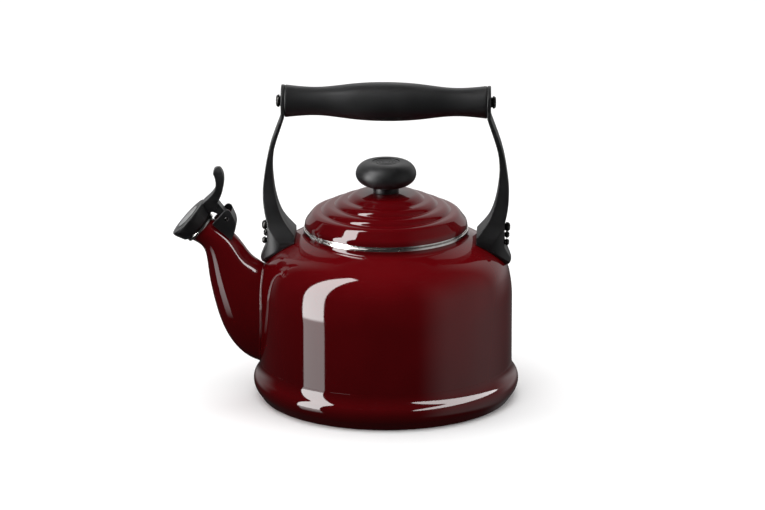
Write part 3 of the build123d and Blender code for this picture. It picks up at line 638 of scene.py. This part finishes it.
def make_body():
    """The body's outer line and the same line moved in by the wall, carried round the axis.  Behind
    the spout the cells within an ellipse of the hole's half width and half height are left out of both
    sheets, their edge is drawn onto it, and the two edges are joined."""
    outer = body_outline()
    inner = inside_of(outer, body_wall)[::-1]
    outline = np.concatenate([outer, inner])
    around, rows, half = 256, len(outline), len(outer)
    hole_half_width, hole_half_height, hole_height = 14.7, 36.0, 63.0
    points = turned_points(outline, around)
    faces = grid_faces(rows, around, True)
    share = np.hypot(points[..., 1] / hole_half_width, (points[..., 2] - hole_height) / hole_half_height)
    share[points[..., 0] > 0] = 9.0  # nothing is cut on the side away from the spout
    corner_share = share.reshape(-1)[faces]
    cut = corner_share.mean(1) < 1.0
    kept = faces[~cut]
    edge = np.zeros(rows * around, bool)
    edge[np.intersect1d(faces[cut], kept)] = True
    edge = edge.reshape(rows, around)
    factor = np.where(edge, 1.0 / np.maximum(share, 0.2), 1.0)
    across = points[..., 1] * factor
    height = hole_height + (points[..., 2] - hole_height) * factor
    radius = np.hypot(points[..., 0], points[..., 1])
    sheet = np.arange(rows) < half
    for side, line in ((sheet, outer), (~sheet, inner[::-1])):
        rise = np.maximum.accumulate(line[:, 1] + np.arange(len(line)) * 1e-6)
        there = np.interp(height[side], rise, line[:, 0])
        radius[side] = np.where(edge[side], there, radius[side])
    moved = np.stack([-np.sqrt(np.maximum(radius**2 - across**2, 0)), across, height], -1)
    points = np.where(edge[..., None], moved, points)
    cell = cut.reshape(rows, around)[: half - 1]
    r, c = np.nonzero(cell[:-1] != cell[1:])
    level = np.stack([(r + 1) * around + c, (r + 1) * around + (c + 1) % around], 1)
    r, c = np.nonzero(cell != np.roll(cell, -1, 1))
    upright = np.stack([r * around + (c + 1) % around, (r + 1) * around + (c + 1) % around], 1)
    rim = np.concatenate([level, upright])
    partner = (rows - 1 - rim // around) * around + rim % around
    bridge = np.stack([rim[:, 0], rim[:, 1], partner[:, 1], partner[:, 0]], 1)
    lining = np.repeat((~sheet).astype(float), around)
    faces = np.concatenate([kept, bridge])
    mesh_piece("body", points, faces, "kettle", body_enamel, ["body_shell"], 50, lining)
    return outer


body_line = make_body()


def make_pan():
    """Flared pan: foot and lower side, then the bulge and the hollow above it, two opposite arcs of
    the same angle t, fitted to the flare: (bulge radius + hollow radius) * (1 - cos t) = flare.  The
    same line moved in is its inside."""
    widest = (pan_high[0], 13.0)
    lower_radius, bulge_radius, hollow_radius = 12.0, 9.0, 14.0
    pan_wall, foot_inset = 1.6, 6.4
    down, _ = arc(widest, -90.0, lower_radius, -37.0, 10)
    flare = widest[0] - body_radius - 0.12
    lean = math.degrees(math.acos(1 - flare / (bulge_radius + hollow_radius)))
    bulge, heading = arc(widest, 90.0, bulge_radius, lean, 14)
    hollow, _ = arc(bulge[-1], heading, hollow_radius, -lean, 18)
    foot = rounded([(0, 0), (widest[0] - foot_inset, 0), down[-1]], [2.0])
    outer = np.concatenate([foot, down[-2::-1], [widest], bulge, hollow, hollow[-1:] - (0.1, -0.05)])
    inner = inside_of(outer[:-16], pan_wall)[::-1]
    inner[-1, 0] = 0.0
    place = ("kettle", "body_enamel", body_enamel, ["base_pan"], 50)
    lining = np.repeat([0.0, 1.0], [len(outer), len(inner)])
    turned("base_pan_skin", np.concatenate([outer, inner]), False, *place, around=256, lining=lining)


make_pan()
rim_width = 2.6
rim_inner, rim_outer = rim_high[0] - rim_width, rim_high[0]
turned(
    "opening_rim_ring",
    ring_outline(rim_inner, rim_outer, rim_low[2], rim_high[2], [0.7] * 4),
    True,
    "kettle",
    "rim_steel",
    rim_steel,
    ["opening_rim"],
)


# ---- spout
def body_distance(points):
    """Signed distance from the body's outer line: the nearest of its pieces, positive outside."""
    flat = np.stack([np.hypot(points[..., 0], points[..., 1]), points[..., 2]], -1)
    start, step = body_line[:-1], np.diff(body_line, axis=0)
    away = flat[..., None, :] - start
    along = np.clip((away * step).sum(-1) / (step**2).sum(-1), 0, 1)
    miss = away - along[..., None] * step
    distance = np.linalg.norm(miss, axis=-1)
    nearest = distance.argmin(-1)[..., None]
    side = step[:, 1] * away[..., 0] - step[:, 0] * away[..., 1]
    return np.take_along_axis(distance * np.sign(side), nearest, -1)[..., 0]


def make_spout():
    """Ellipses on a smooth run of stations, each with its middle, its half height along a turning
    line and its half width.  Every line along the spout ends at the fillet's distance from the body
    and goes on as a quarter of a round: foot + rise * (1 - sunk * sin t) + out * fillet * (1 - cos t),
    whose end lies just inside the body's surface.  The inner sheet is the spout's wall further in and
    ends in the body's wall."""
    stations = [
        ((43.0, 114.2), (27.4, 130.0), 11.6),
        ((39.7, 104.2), (18.3, 123.2), 12.2),
        ((38.0, 91.0), (8.8, 110.9), 13.2),
        ((32.6, 66.5), (1.6, 104.2), 14.6),
        ((23.1, 43.3), (-2.6, 101.4), 15.6),
        ((9.8, 29.0), (-9.0, 98.0), 16.0),
        ((-8.0, 22.5), (-20.0, 93.0), 16.0),
    ]
    mouth = mouth_centre - mouth_normal * 1.2
    reach = mouth_across * 11.1
    knots = [[mouth[0], mouth[2], reach[0], reach[2], 11.1]]
    for low, high, half in stations:
        a = np.array([-(body_radius + low[0]), low[1]])
        b = np.array([-(body_radius + high[0]), high[1]])
        knots.append([*(a + b) / 2, *(b - a) / 2, half])
    run = smooth_curve(knots, np.linspace(0, 1, 241))
    around, spout_wall, fillet_radius, sunk = 96, 1.3, 1.2, 1.06
    angle = np.linspace(0, 2 * math.pi, around, endpoint=False)

    def lines(inset):
        """The spout's points, station by station, moved in by inset."""
        size = np.hypot(run[:, 2], run[:, 3])
        part = (size - inset) / size
        x = run[:, 0, None] + (run[:, 2] * part)[:, None] * np.cos(angle)
        z = run[:, 1, None] + (run[:, 3] * part)[:, None] * np.cos(angle)
        y = (run[:, 4, None] - inset) * np.sin(angle)
        return np.stack([x, y, z], -1)

    def ending(sheet, gap):
        """Row number, with its fraction, at which each line first comes within gap of the body."""
        distance = body_distance(sheet) - gap
        row = np.argmax(distance < 0, axis=0)
        column = np.arange(distance.shape[1])
        before, after = distance[row - 1, column], distance[row, column]
        return row - 1 + before / (before - after)

    def at_rows(sheet, row):
        """Points of the sheet at fractional rows, one per column in the last direction."""
        low = np.clip(np.floor(row).astype(int), 0, sheet.shape[0] - 2)
        share = (row - low)[..., None]
        column = np.arange(sheet.shape[1])
        return sheet[low, column] * (1 - share) + sheet[low + 1, column] * share

    outer, inner = lines(0.0), lines(spout_wall)
    stop, foot = ending(outer, fillet_radius), at_rows(outer, ending(outer, 0.0))
    skin = at_rows(outer, np.linspace(0, 1, 90)[:, None] * stop)
    rise = skin[-1] - foot
    tangent = np.roll(foot, -1, 0) - np.roll(foot, 1, 0)
    out = np.cross(tangent, rise)
    out /= np.linalg.norm(out, axis=1)[:, None]
    out *= np.sign((out * (foot - foot.mean(0))).sum(1))[:, None]
    turn = np.linspace(0, math.pi / 2, 9)[1:, None, None]
    fillet = foot + rise * (1 - sunk * np.sin(turn)) + out * fillet_radius * (1 - np.cos(turn))
    lining_sheet = at_rows(inner, np.linspace(0, 1, 60)[:, None] * ending(inner, -0.7))
    points = np.concatenate([lining_sheet[::-1], skin, fillet])
    lining = np.repeat([1.0, 0.0], [len(lining_sheet) * around, (len(skin) + len(fillet)) * around])
    faces = grid_faces(points.shape[0], around, True)
    mesh_piece("spout_skin", points, faces, "kettle", body_enamel, ["spout"], 60, lining)


make_spout()
turned(
    "mouth_rim_ring",
    ring_outline(10.45, 13.05, -1.3, 1.3, [0.9] * 4),
    True,
    "kettle",
    "rim_steel",
    mouth_steel,
    ["spout_rim"],
    around=128,
    **about_mouth,
)


# ---- lid and knob
def make_lid():
    """Raised middle, three stepped rings and a turned-down edge, rounded at every corner, and the
    same line moved in by the wall."""
    seat, edge, wide = lid_high[2], lid_low[2], lid_high[0]
    first_crease, last_crease, lid_wall = 28.7, wide - 12.5, 1.2
    pitch = (last_crease - first_crease) / 2
    corners = [(2.7, seat), (10.4, seat), (24.3, seat - 1.0)]
    for ring in range(3):
        crease, height = first_crease + ring * pitch, seat - 5.1 - ring * 4.45
        corners += [(crease, height), (crease + pitch - 2.8 - (1.15 if ring == 2 else 0.0), height - 0.35)]
    corners += [(wide, edge + 3.0), (wide, edge)]
    outer = rounded(corners, [20.0, 9.0, 1.2, 7.0, 1.2, 7.0, 1.2, 5.5, 6.0], 12)
    fill = []
    for a, b in zip(outer, outer[1:]):
        count = max(1, int(np.linalg.norm(b - a) / 2.0))
        fill.append(a + (b - a) * np.linspace(0, 1, count, endpoint=False)[:, None])
    outer = np.concatenate([*fill, outer[-1:]])
    inner = inside_of(outer, -lid_wall)[::-1]
    place = ("lid", "lid_enamel", lid_enamel, ["lid_shell"], 50)
    lining = np.repeat([0.0, 1.0], [len(outer), len(inner)])
    turned("lid_skin", np.concatenate([outer, inner]), True, *place, around=256, lining=lining)


make_lid()
shelf, skirt, rim_top, skirt_wall = collar_high[0], rim_inner - 1.0, rim_high[2], 1.4
turned(
    "lid_collar_ring",
    rounded_ring(
        [
            (shelf, rim_top),
            (shelf, lid_low[2]),
            (skirt - skirt_wall, lid_low[2]),
            (skirt - skirt_wall, collar_low[2]),
            (skirt, collar_low[2]),
            (skirt, rim_top),
        ],
        [0.3, 0.3, 0.5, 0.5, 0.5, 0.3],
        4,
    ),
    True,
    "lid",
    "rim_steel",
    rim_steel,
    ["lid_collar"],
    sharp=50,
)


def make_knob():
    """Round knob: an elliptic underside and upper side about the waist, a raised ring on top, and
    inside it a sunk plain disc with three fine turned grooves."""
    base, top = knob_low[2], knob_high[2]
    waist_rise, wide = 9.2, knob_high[0]
    waist = base + waist_rise
    neck, ring_outer, ring_inner, disc_radius, sunk = 11.0, 12.4, 10.2, 9.0, 0.6
    under = np.radians(np.linspace(-90, 0, 24))
    over = np.radians(np.linspace(0, 90, 24))[1:]
    underside = np.stack([neck + (wide - neck) * np.cos(under), waist + waist_rise * np.sin(under)], 1)
    upper_radius = ring_outer + (wide - ring_outer) * np.cos(over)
    upper = np.stack([upper_radius, waist + (top - waist) * np.sin(over)], 1)
    ring = [(ring_outer, top), (ring_inner, top), (ring_inner, top - sunk), (disc_radius, top - sunk)]
    ring = rounded(ring, [0.25, 0.25], 4)
    radius = np.linspace(disc_radius, 0.0, 73)
    groove = 0.4 * sum(np.exp(-(((radius - place) / 0.3) ** 2)) for place in (7.6, 5.3, 3.0))
    disc = np.stack([radius, top - sunk - groove], 1)
    hole = [(0.0, base + 10.0), (4.5, base + 10.0), (4.5, base)]
    outline = np.concatenate([hole, underside, upper, ring[1:-1], disc])
    place = ("lid", "black_phenolic", black_phenolic, ["lid_knob"], 45)
    turned("lid_knob_moulding", outline, False, *place, around=160)


make_knob()
turned(
    "knob_spacer_ring",
    ring_outline(2.7, 9.6, spacer_low[2], spacer_high[2], [0.1, 0.5, 0.5, 0.1]),
    True,
    "lid",
    "black_phenolic",
    black_phenolic,
    ["knob_spacer"],
    45,
    around=96,
)


# ---- handle
def make_grip():
    """Turned grip about the X axis: its radius is a smooth curve of the distance along, its ends
    are rounded, and the rod's hole runs through it."""
    reach, axis_height = grip_high[0], (grip_low[2] + grip_high[2]) / 2
    half = [(reach, 12.3), (51.5, 10.65), (24.5, 13.4)]
    line = smooth_curve(half + [(0.0, 14.6)] + [(-x, r) for x, r in half[::-1]], np.linspace(0, 1, 181))
    line = line[np.abs(line[:, 0]) < reach - 1.2][::-1]
    end = rounded([(3.2, reach), (12.25, reach), (line[-1][1], line[-1][0])], [1.0], 6)[:-1]
    outline = np.concatenate([end * (1, -1), line[:, ::-1], end[::-1]])
    turned(
        "grip_moulding",
        outline,
        True,
        "kettle",
        "black_phenolic",
        black_phenolic,
        ["handle_grip"],
        45,
        around=128,
        centre=(0, 0, axis_height),
        first=(0, 1, 0),
        second=(0, 0, 1),
        axis=(1, 0, 0),
    )


make_grip()
for side in ("left", "right"):
    moulded_copy(side + "_arm_moulding", side + "_arm", 0.55, 4, "kettle", black_phenolic)

# ---- whistle
moulded_copy("bracket_moulding", "whistle_bracket", 0.35, 3, "kettle", black_nylon)
moulded_copy("lever_moulding", "whistle_lever", 0.35, 4, "whistle", black_nylon)


def make_cap():
    """Cap about the mouth's axis: narrow foot, flared flank, short band and face with the badge's
    seat, and the cavity for the sounding plates.  The vent on its rear is left open: the cells
    between its two heights and sides are left out of flank and cavity, and their edges joined."""
    base = 1.6
    face = base + 10.9
    vent_low, vent_high = face - 3.8, face - 2.6
    flank = rounded(
        [(11.3, base), (13.6, base), (14.9, base + 1.2), (17.3, face - 2.4), (17.3, face), (12.25, face)],
        [0.6, 0.8, 4.0, 0.8],
        8,
    )
    rows = [vent_low, vent_high]
    rising = flank[: np.argmax(flank[:, 1]) + 1]
    extra = np.stack([np.interp(rows, rising[:, 1], rising[:, 0]), rows], 1)
    keep = np.abs(flank[:, 1, None] - np.array(rows)).min(1) > 0.25
    flank = flank[keep | (flank[:, 0] < 13)]
    lower = flank[flank[:, 1] < vent_low]
    upper = flank[flank[:, 1] > vent_high]
    seat = [(12.25, face - 0.7), (0.0, face - 0.7), (0.0, face - 2.6), (11.3, vent_high), (11.3, vent_low)]
    outline = np.concatenate([lower, extra, upper, seat])
    around, row = 180, len(lower)
    points = turned_points(outline, around, **about_mouth)
    faces = grid_faces(len(outline), around, True)
    low, high = 42, 48  # columns of the vent, of the 180 round the axis
    column = faces[:, 0] % around
    level = faces[:, 0] // around
    inner_row = len(outline) - 2
    cut = (column >= low) & (column < high) & ((level == row) | (level == inner_row))
    columns = np.arange(low, high)
    joins = []
    for outer_row, cavity_row in ((row, len(outline) - 1), (row + 1, inner_row)):
        a, b = outer_row * around + columns, outer_row * around + columns + 1
        c, d = cavity_row * around + columns + 1, cavity_row * around + columns
        joins.append(np.stack([a, b, c, d], 1))
    for place in (low, high):
        corners = [row * around, (row + 1) * around, inner_row * around, (len(outline) - 1) * around]
        joins.append(np.array([corners]) + place)
    faces = np.concatenate([faces[~cut], *joins])
    mesh_piece("cap_moulding", points, faces, "whistle", black_nylon, ["whistle_cap"], 40)
    radius = np.linspace(11.7, 0.0, 60)
    crest = np.stack([radius, face + 0.2 + 0.5 * (1 - (radius / 11.7) ** 2)], 1)
    crest[:, 1] -= 0.12 * np.exp(-(((radius - 9.6) / 0.25) ** 2))
    edge = [(0.0, face - 0.7), (12.2, face - 0.7), (12.2, face), (12.05, face + 0.14)]
    badge = np.concatenate([edge, crest])
    turned(
        "plain_badge",
        badge,
        False,
        "whistle",
        "badge_aluminium",
        badge_metal,
        ["cap_badge"],
        40,
        around=160,
        lining=np.clip((badge[:, 0] - 9.75) / 0.2, 0, 1),
        **about_mouth,
    )


make_cap()

# ---- small metal parts and tabs
for name, node, slot, material in (
    ("grip_screw_heads", "grip_screws", "screw_steel", screw_steel),
    ("grip_washer_pair", "grip_washers", "screw_steel", screw_steel),
    ("large_foot_screws", "foot_screws_large", "screw_steel", screw_steel),
    ("small_foot_screws", "foot_screws_small", "screw_steel", screw_steel),
    ("pin", "hinge_pin", "screw_steel", screw_steel),
    ("left_tab_plate", "left_tab", "body_enamel", body_enamel),
    ("right_tab_plate", "right_tab", "body_enamel", body_enamel),
    ("lug_plate", "spout_lug", "body_enamel", body_enamel),
):
    finished_copy(name, node, "kettle", material)
finished_copy("return_spring", "whistle_spring", "whistle", spring_steel, 60)
inner_finishes = {
    "knob_insert": insert_brass,
    "knob_screw": screw_steel,
    "knob_washer": screw_steel,
    "grip_rod": screw_steel,
    "whistle_plate_inner": plate_steel,
    "whistle_plate_outer": plate_steel,
}
for node, material in inner_finishes.items():
    for material_slot in frame["nodes"][node].material_slots:
        material_slot.material = material

# ---- studio
scene = bpy.context.scene
scene.view_settings.view_transform = "Standard"
scene.view_settings.look = "None"

floor_mesh = bpy.data.meshes.new("floor")
floor_reach = 14.0
floor_corners = [(x * floor_reach, y * floor_reach, 0.0) for x, y in ((-1, -1), (1, -1), (1, 1), (-1, 1))]
floor_mesh.from_pydata(floor_corners, [], [(0, 1, 2, 3)])
floor = bpy.data.objects.new("floor", floor_mesh)
scene.collection.objects.link(floor)
floor_paint, *_, floor_shader = new_material("floor_paint", Roughness=0.9, Specular_IOR_Level=0.0)
floor_shader.inputs["Base Color"].default_value = (0.90, 0.90, 0.90, 1.0)
floor_mesh.materials.append(floor_paint)
floor.visible_glossy = False
floor.visible_diffuse = False


def soft_card(name, centre, across, width, low, high, bands):
    """Upright glowing card that only mirror-like finishes show: centre on the floor plan, direction
    along it, its span, and strengths by height as (height, strength)."""
    across = np.array([*across, 0.0]) / np.linalg.norm(across)
    places = ((low, width[0]), (low, width[1]), (high, width[1]), (high, width[0]))
    corners = [np.array([*centre, z]) + across * s for z, s in places]
    mesh = bpy.data.meshes.new(name)
    mesh.from_pydata([tuple(corner) for corner in corners], [], [(0, 1, 2, 3)])
    card = bpy.data.objects.new(name, mesh)
    scene.collection.objects.link(card)
    material = bpy.data.materials.new(name)
    material.use_nodes = True
    tree = material.node_tree
    tree.nodes.clear()
    place = object_place(tree)
    height = add_node(tree, "ShaderNodeSeparateXYZ", [(place, 0)]).outputs[2]
    strength = None
    for (z0, s0), (z1, s1) in zip(bands, bands[1:]):
        part = range_node(tree, height, z0, z1, 0.0, s1 - s0, smooth=False)
        strength = math_node(tree, "ADD", part, s0 if strength is None else strength)
    glow = add_node(tree, "ShaderNodeEmission", [(strength, "Strength")])
    add_node(tree, "ShaderNodeOutputMaterial", [(glow.outputs[0], 0)])
    material.cycles.emission_sampling = "NONE"
    mesh.materials.append(material)
    card.visible_camera = card.visible_diffuse = card.visible_shadow = card.visible_transmission = False


def toward(azimuth):
    """Direction on the floor plan; azimuth 0 is the front, -Y, and 90 is +X."""
    return np.array([math.sin(math.radians(azimuth)), -math.cos(math.radians(azimuth))])


strip_azimuth, strip_distance = -67.0, 0.8
strip_along = (math.cos(math.radians(strip_azimuth)), math.sin(math.radians(strip_azimuth)))
strip_bands = [(-0.40, 0.0), (-0.21, 3.6), (-0.10, 3.8), (-0.07, 13.0)]
strip_place = toward(strip_azimuth) * strip_distance
soft_card("strip_card", strip_place, strip_along, (-0.11, 0.20), -0.42, 2.2, strip_bands)


def area_light(name, place, target, size, radiance, glossy=False):
    """Rectangular soft light that looks from place to target; power = radiance * pi * area."""
    lamp = bpy.data.lights.new(name, "AREA")
    lamp.shape = "RECTANGLE"
    lamp.size, lamp.size_y = size
    lamp.energy = radiance * math.pi * size[0] * size[1]
    light = bpy.data.objects.new(name, lamp)
    scene.collection.objects.link(light)
    light.location = place
    back = np.array(place, float) - np.array(target, float)
    tip, turn = math.acos(back[2] / np.linalg.norm(back)), math.atan2(back[1], back[0])
    light.rotation_euler = (tip, 0, turn + math.pi / 2)
    light.visible_camera = False
    light.visible_glossy = glossy
    return light


middle = (0, 0, 0.12)
area_light("overhead", (-0.1, 0.3, 1.9), (0, 0.1, 0.1), size=(2.8, 3.0), radiance=2.0)
area_light("front_fill", (-0.7, -1.9, 1.5), middle, size=(1.6, 1.0), radiance=2.0)
area_light("left_fill", (-1.9, -0.5, 0.9), middle, size=(1.2, 1.2), radiance=2.0)
area_light("right_fill", (1.9, -0.7, 0.9), middle, size=(1.2, 1.2), radiance=1.8)
dull_light = area_light(
    "rear_for_dull_parts", (0.0, 1.6, 1.3), (0, 0, 0.2), size=(1.8, 0.6), radiance=0.95, glossy=True
)
side_light = area_light(
    "side_for_dull_parts", (-1.6, -0.9, 0.8), (0, 0, 0.15), size=(0.6, 1.1), radiance=0.7, glossy=True
)
dull_parts = bpy.data.collections.new("dull_parts")
for piece in bpy.data.objects:
    if piece.type == "MESH" and piece.data.materials:
        finish = piece.data.materials[0]
        shiny = finish in (body_enamel, lid_enamel, floor_paint) or piece.name.endswith("_card")
        if finish and not shiny:
            dull_parts.objects.link(piece)
for light in (dull_light, side_light):
    light.light_linking.receiver_collection = dull_parts


def linked_glow(name, place, target, size, radiance, receivers):
    """Light that shows only as a reflection, and only on the pieces named."""
    glow = area_light(name, place, target, size, radiance, True)
    glow.visible_diffuse = False
    glow.data.shape = "ELLIPSE"
    group = bpy.data.collections.new(name)
    for receiver in receivers:
        group.objects.link(bpy.data.objects[receiver])
    glow.light_linking.receiver_collection = group


pan_glow_place = (*toward(70.0) * 0.4, 0.26)
linked_glow("pan_glow", pan_glow_place, (0, 0, 0.2), (0.84, 0.17), radiance=8.0, receivers=["base_pan_skin"])
spout_glow_place = (0.60, -0.67, 0.64)
linked_glow(
    "spout_glow", spout_glow_place, (-0.115, 0, 0.11), (0.15, 0.60), radiance=9.0, receivers=["spout_skin"]
)

world = bpy.data.worlds.new("studio")
scene.world = world
world.use_nodes = True
sky = world.node_tree
sky.nodes.clear()
direction = add_node(sky, "ShaderNodeTexCoord").outputs["Generated"]
split = add_node(sky, "ShaderNodeSeparateXYZ", [(direction, 0)])
turn = math_node(sky, "ARCTAN2", split.outputs[0], math_node(sky, "MULTIPLY", split.outputs[1], -1.0))
lift = math_node(sky, "ARCSINE", split.outputs[2], 0.0)


def angle_range(angle, start, end, to_low=0.0, to_high=1.0):
    """Soft step of an angle of the sky, start and end in degrees."""
    return range_node(sky, angle, math.radians(start), math.radians(end), to_low, to_high)


def product(first, second):
    return math_node(sky, "MULTIPLY", first, second)


# What glossy surfaces see: a panel on the right that fades to the rear and upward, a paler glow all
# along the rear, and a faint light from everywhere.
panel_side = angle_range(turn, 28, 64)
panel_low = angle_range(lift, -45, -30)
panel_high = angle_range(lift, 70, -5, 0.0, 0.50)
panel_rear = angle_range(turn, 150, 90, 0.15, 1.0)
panel = product(product(panel_side, product(panel_low, panel_rear)), panel_high)
rear_side = angle_range(math_node(sky, "ABSOLUTE", turn, 0.0), 112, 140)
rear_high = angle_range(lift, 66, 30)
rear_low = angle_range(lift, -14, 2)
rear = product(product(rear_side, rear_high), rear_low)
rear_strength, faint = 0.7, 0.03
shown = math_node(sky, "ADD", math_node(sky, "ADD", panel, product(rear, rear_strength)), faint)
# What lights dull surfaces: more from above than from below.
up_share = range_node(sky, split.outputs[2], -0.25, 0.5, 0.10, 0.46)
path = add_node(sky, "ShaderNodeLightPath")
strength = mix_number(sky, path.outputs["Is Glossy Ray"], up_share, shown)
strength = mix_number(sky, path.outputs["Is Camera Ray"], strength, 1.0)
background = add_node(sky, "ShaderNodeBackground", [(strength, "Strength")])
add_node(sky, "ShaderNodeOutputWorld", [(background.outputs[0], 0)])

# ---- camera
lens = bpy.data.cameras.new("camera")
camera = bpy.data.objects.new("camera", lens)
scene.collection.objects.link(camera)
rise, side = math.radians(16.22), math.radians(1.8)
aim = np.array([0.0, 0.0, 0.1082])
camera_distance = 4.0
toward_camera = (math.sin(side) * math.cos(rise), -math.cos(side) * math.cos(rise), math.sin(rise))
camera.location = aim + camera_distance * np.array(toward_camera)
camera.rotation_euler = (math.pi / 2 - rise, 0, side)
lens.lens = 250.3
lens.sensor_width = 36.0
lens.shift_x = -0.0046
lens.clip_end = 60.0
scene.camera = camera
